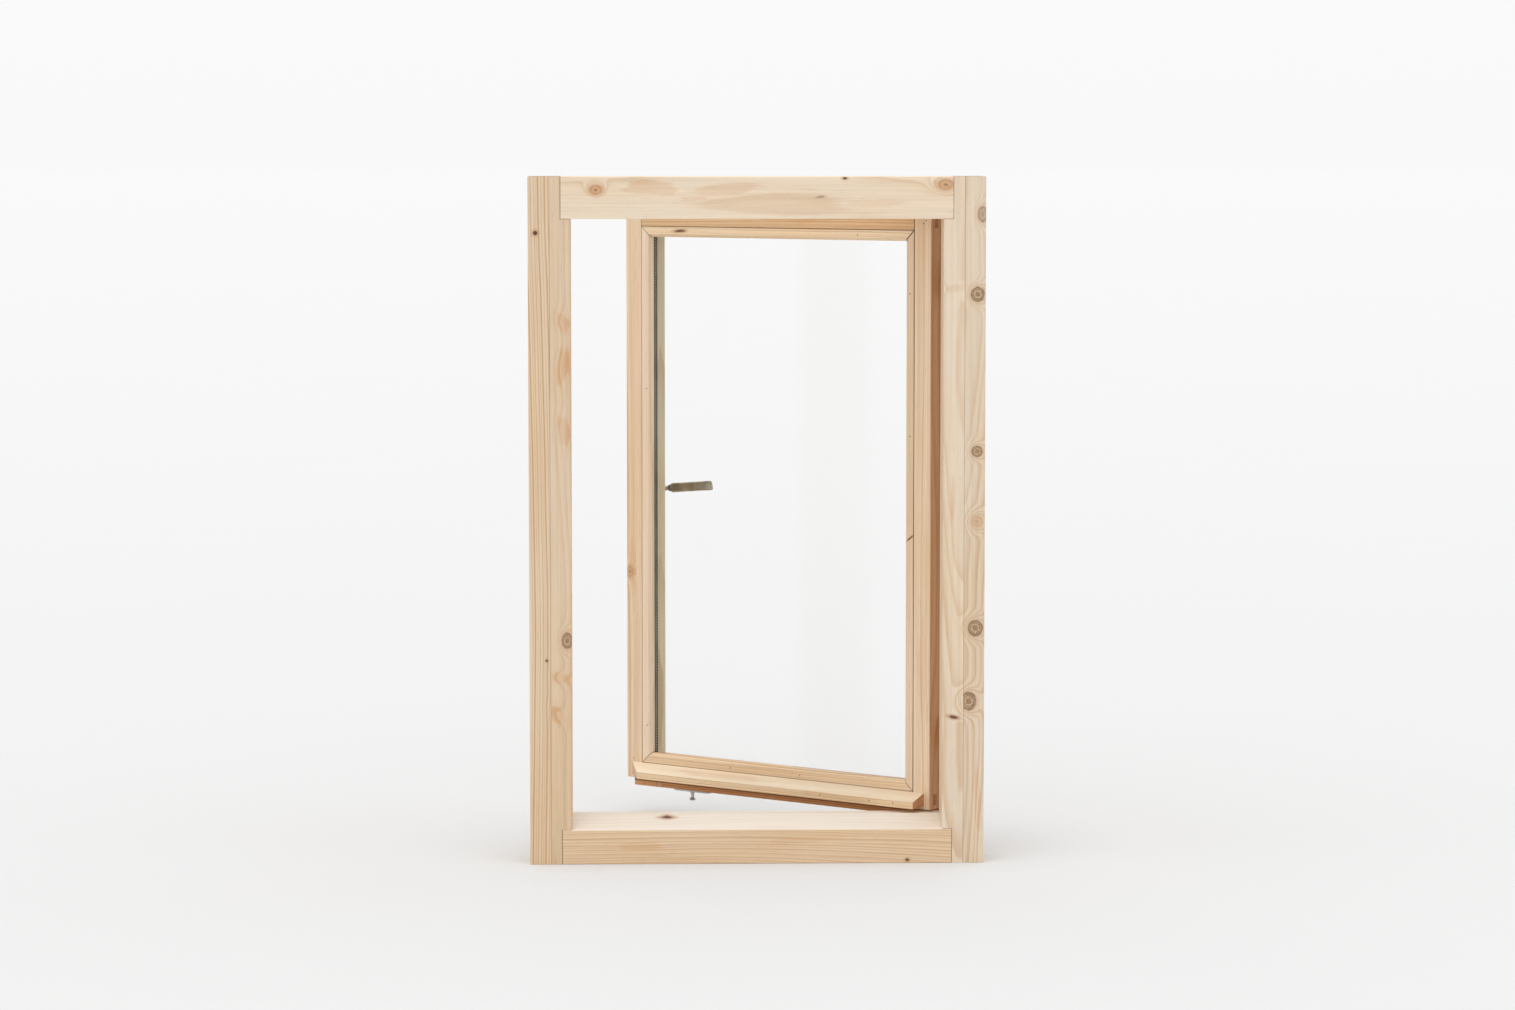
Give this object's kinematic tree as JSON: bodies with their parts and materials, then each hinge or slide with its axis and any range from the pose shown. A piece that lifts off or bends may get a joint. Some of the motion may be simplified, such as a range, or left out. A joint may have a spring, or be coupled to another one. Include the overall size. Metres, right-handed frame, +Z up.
{
  "type": "casement window",
  "caption": "Inward-opening timber window: a fixed rebated frame and a side-hung double-glazed sash with a drip bar, edge lock and lever handle.",
  "frame": {"origin": "middle of the sill's underside, half way through the frame's depth", "axes": "+Z up, -Y to the weather side, +Y to the room side, +X to the hinge side"},
  "size_m": [0.79, 0.562, 1.195],
  "materials": {
    "frame_timber": "planed bare softwood",
    "sash_timber": "planed bare softwood",
    "bead_timber": "planed bare softwood",
    "clear_glass": "clear float glass",
    "spacer_metal": "perforated mill finish",
    "sealant": "matt",
    "block_plastic": "moulded",
    "brown_gasket": "matt",
    "satin_nickel": "satin nickel",
    "zinc_plate": "zinc plated",
    "bright_steel": "bright"
  },
  "bodies": {
    "frame": {"frame_head": "frame_timber", "frame_left_stile": "frame_timber", "frame_right_stile": "frame_timber", "frame_sill": "frame_timber", "hinge_lower_frame_knuckle": "zinc_plate", "hinge_lower_pin": "bright_steel", "hinge_upper_frame_knuckle": "zinc_plate", "hinge_upper_pin": "bright_steel", "striker_lower": "zinc_plate", "striker_lower_screw_high": "bright_steel", "striker_lower_screw_low": "bright_steel", "striker_upper": "zinc_plate", "striker_upper_screw_high": "bright_steel", "striker_upper_screw_low": "bright_steel"},
    "sash": {"bead_bottom": "bead_timber", "bead_left": "bead_timber", "bead_right": "bead_timber", "bead_top": "bead_timber", "edge_sealant": "sealant", "faceplate_screw_foot": "bright_steel", "faceplate_screw_high": "bright_steel", "faceplate_screw_low": "bright_steel", "faceplate_screw_top": "bright_steel", "gear_case": "zinc_plate", "glazing_block_bottom_hinge": "block_plastic", "glazing_block_bottom_lock": "block_plastic", "glazing_block_side_hinge": "block_plastic", "glazing_block_side_lock": "block_plastic", "handle_rosette": "satin_nickel", "hinge_lower_sash_knuckle": "zinc_plate", "hinge_upper_sash_knuckle": "zinc_plate", "inner_pane": "clear_glass", "lock_faceplate": "zinc_plate", "outer_pane": "clear_glass", "rosette_screw_lower": "bright_steel", "rosette_screw_upper": "bright_steel", "sash_bottom_rail": "sash_timber", "sash_left_stile": "sash_timber", "sash_right_stile": "sash_timber", "sash_top_rail": "sash_timber", "spacer_bar": "spacer_metal", "stay_peg": "zinc_plate", "stay_plate": "zinc_plate", "stay_screw_hinge": "bright_steel", "stay_screw_lock": "bright_steel", "weather_bar": "sash_timber", "weather_seal": "brown_gasket"},
    "handle": {"handle_grip": "satin_nickel", "handle_neck": "satin_nickel", "neck_collar": "satin_nickel", "handle_spindle": "bright_steel", "grub_screw": "bright_steel", "pinion": "bright_steel"},
    "drive_rod": {"drive_rod": "zinc_plate", "cam_lower": "bright_steel", "cam_upper": "bright_steel"}
  },
  "joints": [
    {"name": "sash_hinge", "type": "hinge", "parent": "frame", "child": "sash", "pos_m": [0.356, 0.0675, 0.6], "axis": [0, 0, -1], "range_deg": [-36.1, 53.9]},
    {"name": "handle_turn", "type": "hinge", "parent": "sash", "child": "handle", "pos_m": [-0.20347, 0.44082, 0.6085], "axis": [0.5892, 0.808, 0], "range_deg": [0, 95.5]},
    {"name": "rod_slide", "type": "slide", "parent": "sash", "child": "drive_rod", "axis": [0, 0, 1], "range_m": [0, 0.01501]}
  ],
  "couplings": [
    {"joint": "rod_slide", "follows": "handle_turn", "m_per_rad": 0.009}
  ]
}
